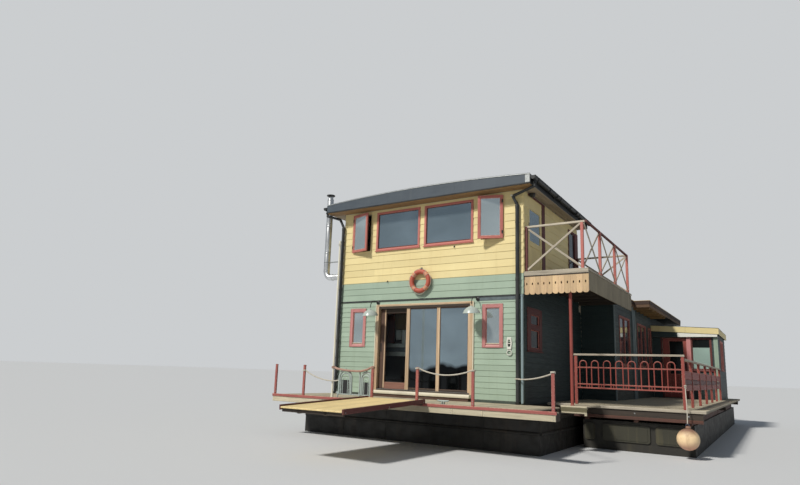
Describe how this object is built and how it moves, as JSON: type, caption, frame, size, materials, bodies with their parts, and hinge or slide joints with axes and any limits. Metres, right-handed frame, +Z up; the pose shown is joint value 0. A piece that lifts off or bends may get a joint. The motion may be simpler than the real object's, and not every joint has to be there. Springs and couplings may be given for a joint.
{
  "type": "houseboat",
  "caption": "Two-storey timber cabin on a flat steel hull with a side pontoon, decks, railed balcony, sliding front door, opening windows and a hinged gangplank.",
  "frame": {"origin": "middle of the main hull's flat bottom", "axes": "+X to starboard along the front wall, +Y aft along the hull, +Z up; the front door faces -Y"},
  "size_m": [9.4097, 18.8896, 7.03],
  "materials": {
    "hull_paint": "matt, weathered",
    "pontoon_panel": "matt, weathered",
    "deck_timber": "weathered, matt",
    "dark_timber": "stained, matt",
    "red_paint": "eggshell, chalked",
    "grey_iron": "satin",
    "rope": "laid rope",
    "ochre_paint": "painted boards, worn",
    "floor_timber": "satin",
    "green_paint": "eggshell, weathered",
    "yellow_paint": "eggshell, weathered",
    "dark_green_paint": "matt",
    "roof_sheet": "matt",
    "cream_paint": "eggshell",
    "varnished_timber": "satin varnish",
    "weathered_timber": "bare, weathered",
    "larch": "oiled, weathered",
    "fender_vinyl": "satin, sun-faded",
    "black_pvc": "satin",
    "stainless": "bright",
    "galvanised_steel": "dull zinc",
    "orange_fabric": "matt, faded"
  },
  "bodies": {
    "boat": {"main_hull": "hull_paint", "side_pontoon": "pontoon_panel", "front_deck": "deck_timber", "deck_edge_posts": "red_paint", "front_hoop_panel": "grey_iron", "deck_pole": "galvanised_steel", "boarding_rope_port": "rope", "boarding_rope_swag": "rope", "boarding_rope_entry": "rope", "boarding_rope_starboard": "rope", "mooring_cleat": "red_paint", "cabin_floor": "floor_timber", "lower_front_wall": "green_paint", "upper_front_wall": "yellow_paint", "lower_right_wall": "dark_green_paint", "upper_right_wall": "yellow_paint", "lower_left_wall": "green_paint", "upper_left_wall": "yellow_paint", "upper_back_wall": "yellow_paint", "upper_floor": "floor_timber", "upper_roof": "roof_sheet", "rear_return_wall": "dark_green_paint", "rear_right_wall": "dark_green_paint", "wing_front_wall": "dark_green_paint", "wing_right_wall": "dark_green_paint", "rear_back_wall": "dark_green_paint", "rear_roof": "roof_sheet", "wing_roof": "yellow_paint", "lower_window_left": "red_paint", "lower_window_right": "red_paint", "upper_window_left": "red_paint", "upper_window_right": "red_paint", "side_lower_window": "red_paint", "side_upper_window": "red_paint", "rear_window_a": "red_paint", "rear_window_b": "red_paint", "front_door_frame": "varnished_timber", "door_fixed_leaves": "varnished_timber", "front_door_sill": "cream_paint", "balcony_deck": "weathered_timber", "balcony_front_skirt": "larch", "balcony_railing": "weathered_timber", "balcony_post": "red_paint", "side_deck": "deck_timber", "side_deck_frame": "dark_timber", "side_front_railing": "red_paint", "side_long_railing": "red_paint", "ball_fender": "fender_vinyl", "right_gutter": "black_pvc", "left_gutter": "black_pvc", "stove_flue": "stainless", "lifebuoy": "orange_fabric"},
    "door_leaf": {"door_sliding_leaf": "varnished_timber"},
    "casement_port": {"casement_left": "red_paint"},
    "casement_starboard": {"casement_right": "red_paint"},
    "balcony_door_leaf": {"balcony_door": "yellow_paint"},
    "wing_door_leaf": {"wing_door": "red_paint"},
    "boarding_plank": {"gangplank": "ochre_paint"}
  },
  "joints": [
    {"name": "front_door_slide", "type": "slide", "parent": "boat", "child": "door_leaf", "axis": [1, 0, 0], "range_m": [0, 0.85]},
    {"name": "casement_port_hinge", "type": "hinge", "parent": "boat", "child": "casement_port", "pos_m": [-2.532, -6.607, 5.7], "axis": [0, 0, -1], "range_deg": [-14, 60]},
    {"name": "casement_starboard_hinge", "type": "hinge", "parent": "boat", "child": "casement_starboard", "pos_m": [1.817, -6.607, 5.7], "axis": [0, 0, 1], "range_deg": [-18, 60]},
    {"name": "balcony_door_hinge", "type": "hinge", "parent": "boat", "child": "balcony_door_leaf", "pos_m": [2.322, -5.398, 5.3], "axis": [0, 0, 1], "range_deg": [0, 95]},
    {"name": "wing_door_hinge", "type": "hinge", "parent": "boat", "child": "wing_door_leaf", "pos_m": [3.578, 3.845, 2.5], "axis": [0, 0, 1], "range_deg": [0, 90]},
    {"name": "gangplank_hinge", "type": "hinge", "parent": "boat", "child": "boarding_plank", "pos_m": [0.27, -8.672, 1.547], "axis": [-1, 0, 0], "range_deg": [0, 80]}
  ]
}
